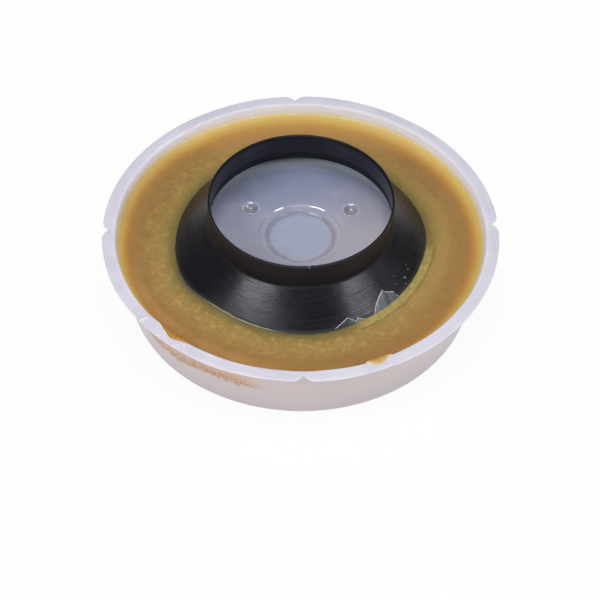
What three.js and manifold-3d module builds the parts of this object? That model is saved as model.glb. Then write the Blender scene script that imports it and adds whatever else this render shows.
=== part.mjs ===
// A wax toilet pan seal with a plastic horn, in the thin moulded dish that its wax was poured in.
// Millimetres, +Z up. Z is the axis of the seal, and the origin is the middle of the dish's foot.
// Three pieces: the dish, a bundt-shaped tray of thin sheet; the wax ring that fills its trough; and
// the horn, a short sleeve on a cone whose rim is held in the wax.

import * as THREE from 'three';
import { mergeVertices } from 'three/addons/utils/BufferGeometryUtils.js';
import Module from 'manifold-3d';

const wasm = await Module();
wasm.setup();

const degrees = THREE.MathUtils.degToRad;

const TURN_FACETS = 64;
const BALL_FACETS = 16;
const ARC_STEP = 0.9;
const CLEARANCE = 0.3;
const CUT_MARGIN = 2;
const MERGE_DISTANCE = 1e-5;

// Dish: radii and heights are those of the upper side of its sheet, at the corners before rounding
const SHEET = 0.8;
const DISH_HEIGHT = 30.2;
const RIM_RADIUS = 76;
const WALL_TOP_RADIUS = 70.94;
const WALL_DRAFT = degrees(12);
const FLANGE_FILLET = 1;
const WALL_FOOT_FILLET = 2.2;
const PLATEAU_RADIUS = 42.6;
const PLATEAU_DROP = 1.2;
const PLATEAU_DRAFT = degrees(11.4);
const PLATEAU_FILLET = 1.2;
const PLATEAU_FOOT_FILLET = 2;
const RECESS_RADIUS = 16.2;
const RECESS_FLOOR_RADIUS = 12.9;
const RECESS_DEPTH = 1.6;
const RECESS_FILLET = 0.8;
const DIMPLE_RADIUS = 3.1;
const DIMPLE_DEPTH = 1.6;
const DIMPLE_X = 19.3;
const DIMPLE_Y = 14;
const NOTCH_DEPTH = 2.7;
const NOTCH_HALF_WIDTH = 1.9;
const NOTCH_FLANK_DEPTH = 0.7;
const NOTCH_SHOULDER = 4;
const NOTCH_BEARINGS = [5, 92.4, 180, 271.6].map(degrees);
const NOTCH_STEPS = 5;

// Horn
const SLEEVE_RADIUS = 35.5;
const SLEEVE_WALL = 1.05;
const SLEEVE_HEIGHT = 10.55;
const SLEEVE_CHAMFER = 0.2;
const CONE_FALL = degrees(42.4);
const CONE_WALL = 1.5;
const CONE_RADIUS = 50.5;
const COLLAR_FILLET = 1.2;
const THROAT_FILLET = 5;
const LIP_RADIUS = 55;
const LIP_THICKNESS = 1.5;
const LIP_FILLET = 0.5;

// Wax ring
const WAX_DROP = 4.2;
const MENISCUS_RISE = 0.7;
const MENISCUS_WIDTH = 2.6;
const MENISCUS_STEPS = 4;

const point = (r, z, fillet = 0) => ({ r, z, fillet });

// A line is a point and a unit direction.
function lineThrough(a, b) {
  const length = Math.hypot(b.r - a.r, b.z - a.z);
  return { r: a.r, z: a.z, dr: (b.r - a.r) / length, dz: (b.z - a.z) / length };
}

function lineFrom(a, dr, dz) {
  return lineThrough(a, point(a.r + dr, a.z + dz));
}

// Moves a line to its left, seen along its direction, or to its right if the distance is negative.
function moved(line, distance) {
  return { ...line, r: line.r - line.dz * distance, z: line.z + line.dr * distance };
}

function meet(first, second, fillet = 0) {
  const cross = first.dr * second.dz - first.dz * second.dr;
  const along = ((second.r - first.r) * second.dz - (second.z - first.z) * second.dr) / cross;
  return point(first.r + first.dr * along, first.z + first.dz * along, fillet);
}

// The arc that rounds one corner: its centre, radius and the two bearings that it runs between.
function filletArc(before, corner, after) {
  const inward = lineThrough(corner, before);
  const outward = lineThrough(corner, after);
  const halfAngle = Math.acos(inward.dr * outward.dr + inward.dz * outward.dz) / 2;
  const reach = corner.fillet / Math.sin(halfAngle);
  const middle = Math.hypot(inward.dr + outward.dr, inward.dz + outward.dz);
  const centre = point(
    corner.r + (reach * (inward.dr + outward.dr)) / middle,
    corner.z + (reach * (inward.dz + outward.dz)) / middle,
  );
  const tangent = corner.fillet / Math.tan(halfAngle);
  const bearing = (side) => Math.atan2(
    corner.z + side.dz * tangent - centre.z,
    corner.r + side.dr * tangent - centre.r,
  );
  const from = bearing(inward);
  const turn = Math.atan2(Math.sin(bearing(outward) - from), Math.cos(bearing(outward) - from));
  return { centre, from, turn };
}

// Replaces each corner that has a fillet by the points of its arc.
function rounded(corners, closed) {
  const count = corners.length;
  return corners.flatMap((corner, index) => {
    const isEnd = !closed && (index === 0 || index === count - 1);
    if (isEnd || corner.fillet <= 0) return [corner];
    const before = corners[(index + count - 1) % count];
    const after = corners[(index + 1) % count];
    const { centre, from, turn } = filletArc(before, corner, after);
    const steps = Math.max(2, Math.ceil((Math.abs(turn) * corner.fillet) / ARC_STEP));
    return Array.from({ length: steps + 1 }, (_, step) => {
      const bearing = from + (turn * step) / steps;
      return point(
        centre.r + corner.fillet * Math.cos(bearing),
        centre.z + corner.fillet * Math.sin(bearing),
      );
    });
  });
}

// The same path a distance to its left, with mitred corners whose fillets stay concentric.
function offsetPath(corners, distance) {
  const sides = corners.slice(1).map((corner, index) => moved(lineThrough(corners[index], corner), distance));
  return corners.map((corner, index) => {
    const before = sides[index - 1];
    const after = sides[index];
    if (!before) return point(after.r, after.z);
    if (!after) return point(corner.r - before.dz * distance, corner.z + before.dr * distance);
    const turnsLeft = before.dr * after.dz - before.dz * after.dr > 0;
    const fillet = corner.fillet > 0 ? corner.fillet + (turnsLeft ? -distance : distance) : 0;
    return meet(before, after, Math.max(fillet, 0));
  });
}

// A solid of revolution about Z. The outline is closed, or starts and ends on the axis.
function turned(outline) {
  const area = outline.reduce((sum, a, index) => {
    const b = outline[(index + 1) % outline.length];
    return sum + a.r * b.z - b.r * a.z;
  }, 0);
  const path = area > 0 ? [...outline] : [...outline].reverse();
  const isRing = path[0].r > 0;
  if (isRing) path.push(path[0]);
  const profile = path.map(({ r, z }) => new THREE.Vector2(r, z));
  return new THREE.LatheGeometry(profile, TURN_FACETS).rotateX(Math.PI / 2);
}

function solid(geometry) {
  const bare = geometry.clone();
  bare.deleteAttribute('normal');
  bare.deleteAttribute('uv');
  const merged = mergeVertices(bare, MERGE_DISTANCE);
  const index = merged.index.array;
  const triangles = [];
  for (let i = 0; i < index.length; i += 3) {
    const [a, b, c] = [index[i], index[i + 1], index[i + 2]];
    if (a !== b && b !== c && c !== a) triangles.push(a, b, c);
  }
  return new wasm.Manifold(new wasm.Mesh({
    numProp: 3,
    vertProperties: new Float32Array(merged.attributes.position.array),
    triVerts: new Uint32Array(triangles),
  }));
}

function geometryOf(manifold) {
  const { vertProperties, triVerts } = manifold.getMesh();
  const geometry = new THREE.BufferGeometry();
  geometry.setAttribute('position', new THREE.BufferAttribute(new Float32Array(vertProperties), 3));
  geometry.setIndex(new THREE.BufferAttribute(new Uint32Array(triVerts), 1));
  geometry.computeVertexNormals();
  return geometry;
}

const plateauHeight = DISH_HEIGHT - PLATEAU_DROP;
const dishFloor = lineFrom(point(0, SHEET), 1, 0);
const plateauCorner = point(PLATEAU_RADIUS, plateauHeight, PLATEAU_FILLET);
const plateauWall = lineFrom(plateauCorner, Math.sin(PLATEAU_DRAFT), -Math.cos(PLATEAU_DRAFT));
const plateauFoot = meet(plateauWall, dishFloor, PLATEAU_FOOT_FILLET);
const recessEdge = point(RECESS_RADIUS, plateauHeight, RECESS_FILLET);
const rimCorner = point(WALL_TOP_RADIUS, DISH_HEIGHT, FLANGE_FILLET);
const outerWall = lineFrom(rimCorner, Math.sin(WALL_DRAFT), Math.cos(WALL_DRAFT));

// Upper side of the dish's sheet, from the axis to the rim.
const dishUpperSide = [
  point(0, plateauHeight - RECESS_DEPTH),
  point(RECESS_FLOOR_RADIUS, plateauHeight - RECESS_DEPTH, RECESS_FILLET),
  recessEdge,
  plateauCorner,
  plateauFoot,
  meet(dishFloor, outerWall, WALL_FOOT_FILLET),
  rimCorner,
  point(RIM_RADIUS, DISH_HEIGHT),
];

function notchCutter(bearing) {
  const rimAt = (across) => Math.sqrt(RIM_RADIUS ** 2 - across ** 2);
  const flank = RIM_RADIUS - NOTCH_FLANK_DEPTH;
  const beyond = RIM_RADIUS + CUT_MARGIN;
  const crest = (NOTCH_HALF_WIDTH + NOTCH_SHOULDER) / 2;
  const shape = new THREE.Shape();
  shape.moveTo(RIM_RADIUS - NOTCH_DEPTH, 0);
  shape.lineTo(flank, NOTCH_HALF_WIDTH);
  shape.quadraticCurveTo(rimAt(crest), crest, rimAt(NOTCH_SHOULDER), NOTCH_SHOULDER);
  shape.lineTo(beyond, NOTCH_SHOULDER);
  shape.lineTo(beyond, -NOTCH_SHOULDER);
  shape.lineTo(rimAt(NOTCH_SHOULDER), -NOTCH_SHOULDER);
  shape.quadraticCurveTo(rimAt(crest), -crest, flank, -NOTCH_HALF_WIDTH);
  shape.closePath();
  const depth = SHEET + 2 * CUT_MARGIN;
  const prism = new THREE.ExtrudeGeometry(shape, { depth, bevelEnabled: false, curveSegments: NOTCH_STEPS });
  return solid(prism.translate(0, 0, DISH_HEIGHT - SHEET - CUT_MARGIN).rotateZ(bearing));
}

// A round dimple: the sheet follows a sphere whose cap sinks DIMPLE_DEPTH below the plateau.
function dimple(side) {
  const ballRadius = (DIMPLE_RADIUS ** 2 + DIMPLE_DEPTH ** 2) / (2 * DIMPLE_DEPTH);
  const centreHeight = plateauHeight + ballRadius - DIMPLE_DEPTH;
  const place = (geometry) => solid(geometry.rotateX(Math.PI / 2)
    .translate(side * DIMPLE_X, DIMPLE_Y, centreHeight));
  const hollow = place(new THREE.SphereGeometry(ballRadius, BALL_FACETS, BALL_FACETS));
  const shell = place(new THREE.SphereGeometry(ballRadius + SHEET, BALL_FACETS, BALL_FACETS));
  const size = 2 * (ballRadius + SHEET);
  const belowSheet = new THREE.BoxGeometry(size, size, size)
    .translate(side * DIMPLE_X, DIMPLE_Y, plateauHeight - SHEET / 2 - size / 2);
  return { hollow, pocket: shell.intersect(solid(belowSheet)) };
}

function makeDish() {
  const lowerSide = offsetPath(dishUpperSide, -SHEET).reverse();
  let dish = solid(turned([...rounded(dishUpperSide, false), ...rounded(lowerSide, false)]));
  for (const side of [-1, 1]) {
    const { hollow, pocket } = dimple(side);
    dish = dish.add(pocket).subtract(hollow);
  }
  for (const bearing of NOTCH_BEARINGS) dish = dish.subtract(notchCutter(bearing));
  return geometryOf(dish);
}

// The horn's cone rests on the rounded shoulder of the plateau: its underside is a tangent of that arc.
const shoulder = filletArc(recessEdge, plateauCorner, plateauFoot).centre;
const coneOutward = { r: Math.sin(CONE_FALL), z: Math.cos(CONE_FALL) };
const seatReach = PLATEAU_FILLET + CLEARANCE;
const seat = point(shoulder.r + coneOutward.r * seatReach, shoulder.z + coneOutward.z * seatReach);
const coneUnderside = lineFrom(seat, Math.cos(CONE_FALL), -Math.sin(CONE_FALL));
const coneOutside = moved(coneUnderside, CONE_WALL);
const sleeveOutside = lineFrom(point(SLEEVE_RADIUS, 0), 0, 1);
const sleeveInside = moved(sleeveOutside, SLEEVE_WALL);
const collar = meet(coneOutside, sleeveOutside, COLLAR_FILLET);
const throat = meet(coneUnderside, sleeveInside, THROAT_FILLET);
const sleeveTop = collar.z + SLEEVE_HEIGHT;
const lipRoot = meet(coneOutside, lineFrom(point(CONE_RADIUS, 0), 0, 1));
const lipTop = lineFrom(lipRoot, 1, 0);
const lipUnderside = moved(lipTop, -LIP_THICKNESS);

function makeHorn() {
  return turned(rounded([
    collar,
    lipRoot,
    point(LIP_RADIUS, lipTop.z, LIP_FILLET),
    point(LIP_RADIUS, lipUnderside.z, LIP_FILLET),
    meet(coneUnderside, lipUnderside),
    throat,
    point(throat.r, sleeveTop - SLEEVE_CHAMFER),
    point(throat.r + SLEEVE_CHAMFER, sleeveTop),
    point(SLEEVE_RADIUS - SLEEVE_CHAMFER, sleeveTop),
    point(SLEEVE_RADIUS, sleeveTop - SLEEVE_CHAMFER),
  ], true));
}

// The wax fills the trough of the dish up to its level, round the horn's cone and over its rim.
function makeWax() {
  const level = lineFrom(point(0, DISH_HEIGHT - WAX_DROP), 1, 0);
  const innerFace = moved(plateauWall, CLEARANCE);
  const outerFace = moved(outerWall, CLEARANCE);
  const underside = moved(dishFloor, CLEARANCE);
  const coneAbove = moved(coneOutside, CLEARANCE);
  const coneBelow = moved(coneUnderside, -CLEARANCE);
  const crest = meet(moved(level, MENISCUS_RISE), outerFace);
  const meniscus = new THREE.QuadraticBezierCurve(
    new THREE.Vector2(crest.r, crest.z),
    new THREE.Vector2(crest.r - MENISCUS_WIDTH / 3, level.z),
    new THREE.Vector2(crest.r - MENISCUS_WIDTH, level.z),
  ).getPoints(MENISCUS_STEPS).map((p) => point(p.x, p.y));
  const slotTop = moved(lipTop, CLEARANCE);
  const slotBottom = moved(lipUnderside, -CLEARANCE);
  return turned(rounded([
    meet(coneBelow, level),
    meet(innerFace, level),
    meet(innerFace, underside, PLATEAU_FOOT_FILLET - CLEARANCE),
    meet(underside, outerFace, WALL_FOOT_FILLET - CLEARANCE),
    ...meniscus,
    meet(level, coneAbove),
    meet(coneAbove, slotTop),
    point(LIP_RADIUS + CLEARANCE, slotTop.z),
    point(LIP_RADIUS + CLEARANCE, slotBottom.z),
    meet(coneBelow, slotBottom),
  ], true));
}

const frostedSheet = new THREE.MeshStandardMaterial({
  color: 0xd3d2de, roughness: 0.35, metalness: 0, transparent: true, opacity: 0.6,
});
const amberWax = new THREE.MeshStandardMaterial({ color: 0xa87d48, roughness: 0.45, metalness: 0 });
const blackPlastic = new THREE.MeshStandardMaterial({ color: 0x242329, roughness: 0.35, metalness: 0 });

function piece(name, geometry, material) {
  const mesh = new THREE.Mesh(geometry, material);
  mesh.name = name;
  return mesh;
}

const seal = new THREE.Group();
seal.add(
  piece('dish', makeDish(), frostedSheet),
  piece('wax_ring', makeWax(), amberWax),
  piece('horn', makeHorn(), blackPlastic),
);

export default seal;
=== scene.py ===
"""A wax toilet pan seal with a plastic horn, in the thin moulded dish that its wax was poured in.

The sizes below are in millimetres, as in the part's source, and each mesh is made in metres from them.
Z is the axis of the seal and z = 0 is the floor that the dish stands on. Bearings are turned about Z
from +X, and -90 degrees faces the camera.

Every piece of the seal is a turned form: an outline of radius and height, carried round the axis on a
grid of outline points by bearings, and then bent by functions of the bearing and the radius.
"""

import math

import bpy
import numpy as np
from mathutils import Matrix, Vector


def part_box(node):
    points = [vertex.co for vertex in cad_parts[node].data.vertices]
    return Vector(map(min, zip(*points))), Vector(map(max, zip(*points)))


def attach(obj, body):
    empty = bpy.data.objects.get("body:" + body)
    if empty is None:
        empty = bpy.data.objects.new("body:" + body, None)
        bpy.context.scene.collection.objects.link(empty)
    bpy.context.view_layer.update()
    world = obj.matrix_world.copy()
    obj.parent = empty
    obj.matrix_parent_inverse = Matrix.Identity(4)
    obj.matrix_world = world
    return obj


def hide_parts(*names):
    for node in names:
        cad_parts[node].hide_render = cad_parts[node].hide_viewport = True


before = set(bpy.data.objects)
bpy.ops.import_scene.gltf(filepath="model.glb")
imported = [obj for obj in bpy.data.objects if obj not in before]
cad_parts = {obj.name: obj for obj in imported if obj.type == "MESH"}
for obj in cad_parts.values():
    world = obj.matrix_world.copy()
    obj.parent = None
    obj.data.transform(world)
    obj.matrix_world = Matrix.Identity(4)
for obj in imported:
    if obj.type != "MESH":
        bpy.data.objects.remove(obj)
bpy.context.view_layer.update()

MM = 0.001

# Dish: radii and heights of the upper side of its sheet
SHEET = 0.8
DISH_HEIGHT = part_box("dish")[1][2] / MM
RIM_RADIUS = 76
WALL_TOP_RADIUS = 70.94
WALL_DRAFT = math.radians(12)
FLANGE_FILLET = 1
WALL_FOOT_FILLET = 2.2
PLATEAU_RADIUS = 42.6
PLATEAU_HEIGHT = DISH_HEIGHT - 1.2
PLATEAU_DRAFT = math.radians(11.4)
PLATEAU_FILLET = 1.2
PLATEAU_FOOT_FILLET = 2
RECESS_RADIUS = 16.2
RECESS_FLOOR_RADIUS = 12.9
RECESS_DEPTH = 1.6
RECESS_FILLET = 0.35
RECESS_STEP = 0.5
RECESS_STEP_RUN = 0.42
RECESS_LEDGE_FALL = 0.3
RECESS_RING_FILLET = 0.1
RECESS_DISC_DEPTH = 1.15
DISC_CROWN = 0.1
DISC_EDGE = RECESS_FLOOR_RADIUS - 1.1
GROOVE_INNER = RECESS_FLOOR_RADIUS - 0.55
GROOVE_OUTER = RECESS_FLOOR_RADIUS + 0.05
GROOVE_RISE = 0.1
LEDGE_FOOT = RECESS_FLOOR_RADIUS + 0.6
DIMPLE_RADIUS = 3.3
DIMPLE_FLOOR = 0.5
DIMPLE_DEPTH = 1.6
NUB_HEIGHT = 0.3
NUB_WIDTH = 0.6
DIMPLE_PLACES = [(-19.3, 14), (19.3, 14)]
DIMPLE_ZONE = (19.5, 28.5)
NOTCH_BEARINGS = [5, 92.4, 180, 271.6]
NOTCH_DEPTH = 2.7
NOTCH_HALF_WIDTH = 1.9
NOTCH_FLANK_DEPTH = 0.7
NOTCH_SHOULDER = 4
RIM_WAVE = 0.12
FLANGE_WAVE = 0.16
FLANGE_SAG = 0.25
WALL_WAVE = 0.1
DENT_BEARING = -137.5
DENT_DEPTH = 0.35
DENT_WIDTH = math.radians(2.2)

# Where the dish's mesh is finer: the middle, reach and step of its creases and dimples, in degrees
FINE_CREASES = [(-126, 3, 0.2), (-136.5, 5.4, 0.2), (-146, 3, 0.4), (-63, 1.4, 0.2), (-38, 2, 0.25)]
FINE_DIMPLES = [(36, 8, 0.7), (144, 8, 0.7)]

# Horn
SLEEVE_RADIUS = 35.5
SLEEVE_WALL = 1.05
SLEEVE_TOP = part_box("horn")[1][2] / MM
SLEEVE_CHAMFER = 0.2
CONE_FALL = math.radians(42.4)
CONE_WALL = 1.5
CONE_RADIUS = 50.5
COLLAR_HEIGHT = SLEEVE_TOP - 10.55
COLLAR_FILLET = 1.2
THROAT_FILLET = 0.5
THROAT_DRAFT = 0.35
THROAT_STEP = 0.65
THROAT_LINE_HEIGHT = 39.2
LIP_RADIUS = 55
LIP_THICKNESS = 1.5
LIP_FILLET = 0.5
NICK_BEARING = -84.2
NICK_DEPTH = 0.35

# Wax
WAX_LEVEL = DISH_HEIGHT - 4.2
WAX_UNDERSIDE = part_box("wax_ring")[0][2] / MM
WAX_CLEARANCE = 0.05
MENISCUS_RISE = 0.7
MENISCUS_WIDTH = 2.9
BEAD_WIDTH = 3.0
BEAD_CUTS = [-58, -52.5, -49, -44.5, -39.5, -36.8, -31, -26.5, -24, -18.5, -13.5, -8]
FILM_WIDTH = 0.26
FILM_THICKNESS = 0.14
SPILL_FOOT = 15
SPILL_DIP = 0.4
SMALL_CRUMBS = 12

# Torn flakes of wax film on the cone: bearing and radius along their upper edge
LARGE_FLAKE = [
    (-53.7, 47.6), (-51.5, 45.76), (-48.3, 44.22), (-43.8, 42.9), (-43.2, 43.8), (-40.6, 44.74),
    (-38.9, 45.3), (-38.2, 47.6),
]
SMALL_FLAKE = [
    (-73.6, 47.9), (-70.5, 46.83), (-66.8, 45.69), (-64.9, 46.47), (-63.4, 47.3), (-61.7, 46.79),
    (-59.5, 47.5), (-58, 47.9),
]

# Wax that ran over the bend of the flange: bearing and radius along its outer edge
LEFT_SPILL = [
    (-142, 70.2), (-138.5, 70.6), (-135.8, 71.3), (-133.2, 72.2), (-131, 73.2), (-129.4, 72.9),
    (-127.6, 72.1), (-125.3, 71.5), (-124, 71.1),
]
RIGHT_SPILL = [
    (-69.6, 71), (-68.7, 71.44), (-68.1, 72.37), (-66.8, 73.36), (-65.7, 73.61), (-64.1, 72.77),
    (-62.6, 71.6), (-61.2, 71), (-60.4, 70.8),
]

# Crumbs on the wax: bearing, radius, half width and length over width
WAX_CRUMBS = [
    (-176.4, 60.4, 0.3, 2.6), (-168.6, 60.3, 0.35, 2), (-166.6, 61, 0.45, 2.2), (-164.7, 61.1, 0.45, 1.4),
    (-156.5, 61.3, 0.3, 1.5), (-150.3, 55.2, 0.35, 1), (-119.4, 57.7, 0.4, 1.2), (-123.8, 62.1, 0.35, 1.4),
    (-126.1, 60.7, 0.35, 1.2), (-114.9, 62.8, 0.3, 1.2), (-106, 62.7, 0.6, 1.3), (-103.7, 62, 0.22, 4),
    (-101.2, 62.1, 0.22, 5), (-98.4, 62.2, 0.2, 4), (-76.9, 57.3, 0.2, 1), (-80.7, 51, 0.18, 1.2),
    (151.5, 63.3, 0.3, 1.5), (172.5, 60, 0.25, 1.4),
]

# Specks on the horn: bearing, radius on the cone or height on the sleeve, and three half sizes
CONE_SPECKS = [
    (-22.3, 43.3, 0.2, 0.14, 0.12), (-23.2, 44.44, 0.22, 0.16, 0.12), (-28.6, 45, 0.5, 0.16, 0.3),
    (-35.4, 44.2, 0.2, 0.18, 0.12), (-38.6, 46.9, 0.5, 0.2, 0.3), (-30.5, 46.4, 0.3, 0.1, 0.2),
    (-124.6, 45, 0.1, 0.1, 0.1), (-62, 46.7, 0.4, 0.25, 0.25), (-33, 42.3, 0.08, 0.3, 0.1),
]
SLEEVE_SPECKS = [
    (-154.2, 40.7, 0.1, 0.14, 0.14), (-20.2, 47.1, 0.1, 0.12, 0.34), (-23.1, 46.5, 0.1, 0.14, 0.18),
    (-84.4, 47.6, 0.12, 0.3, 0.14),
]

# Where the wax meets the cone: bearing in degrees and radius
CONTACT_LINE = [
    (-180, 47.6), (-166, 48.5), (-152, 49.2), (-139, 47.9), (-127, 47.5), (-116, 47.7), (-106, 48.1),
    (-92, 48.4), (-79, 48.7), (-69, 47.9), (-49, 47.5), (-32, 47.3), (-12, 47.3), (4, 48.4), (18, 48.5),
    (30, 47.1), (50, 47.2), (70, 47.3), (90, 47.4), (110, 47.3), (130, 47), (152, 46.8), (166, 47.3),
]

# How far the light rim of the wax, painted light that shines in through the wall, reaches in from the wall:
# bearing and millimetres
LIGHT_RIM = [
    (-180, 5.4), (-165, 4.8), (-150, 4), (-135, 2.6), (-120, 1.6), (-105, 1.3), (-90, 1.3), (-75, 1.6),
    (-60, 3), (-45, 4.4), (-30, 5.6), (-15, 6.2), (0, 6.2), (20, 7), (40, 9), (60, 11.5), (80, 13),
    (100, 13), (120, 11), (140, 7.5), (160, 6),
]

# Camera: fitted to the circles of the rim, the wax and the sleeve
IMAGE_SIZE = 600
SENSOR_WIDTH = 36
FOCAL_PIXELS = 3281.07
CAMERA_PLACE = (0.16, -875.36, 927.33)
CAMERA_ELEVATION = math.radians(46.884)
CAMERA_ROLL = 0.01621

# Studio: each soft box's bearing, elevation, width, height and power, in degrees, metres and watts
LAMP_DISTANCE = 1.7
LAMPS = {
    "left_softbox": (-136, 42, 0.84, 0.36, 7.7),
    "right_softbox": (-26, 42, 0.66, 0.32, 4.9),
    "right_side_fill": (8, 36, 0.6, 0.6, 1),
    "top_softbox": (-90, 84, 0.8, 0.8, 13.9),
    "low_front_fill": (-90, 12, 1.7, 1.7, 7),
}
WORLD_STRENGTH = 0.2
FLOOR_REACH = 3000
FLOOR_DROP = 0.03
FLOOR_WHITENESS = 0.93


# Outlines

def unit(vector):
    return vector / np.linalg.norm(vector)


def corner_arc(before, corner, after, step):
    """The arc of the corner's fillet: its centre lies on the corner's bisector at fillet / sin(half the
    angle), and it runs between the points of both sides that lie fillet / tan(half the angle) away."""
    here, fillet = corner[:2], corner[2]
    inward, outward = unit(before[:2] - here), unit(after[:2] - here)
    half = math.acos(np.clip(inward @ outward, -1, 1)) / 2
    if fillet <= 0 or half > math.pi / 2 - 1e-3:
        return here[None]
    centre = here + unit(inward + outward) * fillet / math.sin(half)
    start, end = (here + side * fillet / math.tan(half) - centre for side in (inward, outward))
    first = math.atan2(start[1], start[0])
    turn = math.remainder(math.atan2(end[1], end[0]) - first, 2 * math.pi)
    count = max(2, math.ceil(abs(turn) * fillet / step))
    bearings = first + turn * np.linspace(0, 1, count + 1)
    return centre + fillet * np.stack([np.cos(bearings), np.sin(bearings)], 1)


def divided(path, step):
    """The same path with points added evenly on each run that is longer than the step."""
    parts = []
    for start, end in zip(path, path[1:]):
        count = max(1, math.ceil(np.linalg.norm(end - start) / step))
        parts.append(start + (end - start) * np.linspace(0, 1, count, endpoint=False)[:, None])
    return np.concatenate([*parts, path[-1:]])


def outline(corners, run_step, arc_step):
    """Runs between corners, each given as radius, height and fillet, with every fillet as an arc."""
    corners = np.array([(*corner, 0)[:3] for corner in corners], float)
    arcs = [corner_arc(*three, arc_step) for three in zip(corners, corners[1:], corners[2:])]
    return divided(np.concatenate([corners[:1, :2], *arcs, corners[-1:, :2]]), run_step)


def offset(path, distance):
    """Each point moved to the left of the path, along the mean of the normals of the runs it joins."""
    along = np.diff(path, axis=0)
    along /= np.linalg.norm(along, axis=1, keepdims=True)
    mean = np.concatenate([along[:1], along[:-1] + along[1:], along[-1:]])
    mean /= np.linalg.norm(mean, axis=1, keepdims=True)
    return path + distance * np.stack([-mean[:, 1], mean[:, 0]], 1)


def cone_height(radius):
    """Height of the cone's outer side: the collar's height less the tangent of its fall times the run."""
    return COLLAR_HEIGHT - (radius - SLEEVE_RADIUS) * math.tan(CONE_FALL)


def wall_radius(height):
    """Radius of the upper side of the dish's outer wall, which opens upwards at its draft."""
    return WALL_TOP_RADIUS - (DISH_HEIGHT - height) * math.tan(WALL_DRAFT)


def plateau_radius(height):
    """Radius of the upper side of the plateau's wall, which widens downwards at its draft."""
    return PLATEAU_RADIUS + (PLATEAU_HEIGHT - height) * math.tan(PLATEAU_DRAFT)


# Turning

def bearings_with(detail, coarse):
    """Bearings in radians, every coarse degrees, and every fine degrees within each detail's reach.
    A detail is its middle, its reach to both sides and its fine step, in degrees."""
    parts = [np.arange(-180, 180, coarse)]
    for middle, reach, fine in detail:
        parts.append((np.arange(middle - reach, middle + reach, fine) + 180) % 360 - 180)
    bearings = np.sort(np.round(np.concatenate(parts), 3))
    keep = np.diff(bearings, append=bearings[0] + 360) > 0.05
    return np.radians(bearings[keep])


def grid_faces(rows, columns, closed):
    """Quads between neighbours of a grid of rows by columns. Columns close on themselves, and so do
    rows where closed is true."""
    row = np.arange(rows if closed else rows - 1)[:, None]
    column = np.arange(columns)[None]
    here, beside = row * columns + column, row * columns + (column + 1) % columns
    below = ((row + 1) % rows) * columns
    return np.stack([here, below + column, below + (column + 1) % columns, beside], -1).reshape(-1, 4)


def mesh_object(name, vertices, faces, attributes=()):
    """A smooth mesh object at the origin, from millimetre vertices, faces of vertex numbers and values
    at the points."""
    mesh = bpy.data.meshes.new(name)
    mesh.from_pydata((vertices * MM).tolist(), [], [list(face) for face in faces])
    for key, values in dict(attributes).items():
        layer = mesh.attributes.new(key, "FLOAT", "POINT")
        layer.data.foreach_set("value", np.ravel(values).astype(np.float32))
    mesh.polygons.foreach_set("use_smooth", np.ones(len(mesh.polygons), bool))
    mesh.update()
    made = bpy.data.objects.new(name, mesh)
    bpy.context.scene.collection.objects.link(made)
    return made


def turned_ring(name, radius, height, bearings, attributes=()):
    """A ring closed both ways: x = r cos a, y = r sin a, z = h, with r and h given on the grid."""
    rows, columns = radius.shape
    vertices = turned(radius, height, bearings).reshape(-1, 3)
    faces = grid_faces(rows, columns, closed=True)
    return mesh_object(name, vertices, outward(vertices, faces), attributes)


def closed_loft(name, points, attributes=()):
    """A closed skin on a grid of points: its columns close on themselves, and its first and last rows
    are each drawn together to one point, the pole of a fan of triangles."""
    rows, columns = points.shape[:2]
    inner = slice(1, rows - 1)
    ring = points[inner].reshape(-1, 3)
    vertices = np.concatenate([ring, points[:1].mean(1), points[-1:].mean(1)])
    first, last = len(ring), len(ring) + 1
    column = np.arange(columns)
    beside = (column + 1) % columns
    end = (rows - 3) * columns
    start_fan = np.stack([np.full(columns, first), column, beside], 1)
    end_fan = np.stack([np.full(columns, last), end + beside, end + column], 1)
    faces = [*grid_faces(rows - 2, columns, closed=False).tolist(), *start_fan.tolist(), *end_fan.tolist()]
    values = {key: np.concatenate([v[inner].ravel(), [v[0].mean(), v[-1].mean()]])
              for key, v in dict(attributes).items()}
    return mesh_object(name, vertices, outward(vertices, faces), values)


def turned(radius, height, bearings):
    """x = r cos a, y = r sin a, z = h"""
    return np.stack(np.broadcast_arrays(radius * np.cos(bearings), radius * np.sin(bearings), height), -1)


def laid_on(carrier, distance, bearings, lift):
    """Points that lie a distance along a carrier's outline, at a bearing, lifted off its left side."""
    runs = np.linalg.norm(np.diff(carrier, axis=0), axis=1)
    along = np.concatenate([[0], np.cumsum(runs)])
    normals = offset(carrier, 1) - carrier
    radius, height, out, up = (np.interp(distance, along, v) for v in (*carrier.T, *normals.T))
    return turned(radius + lift * out, height + lift * up, bearings)


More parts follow.
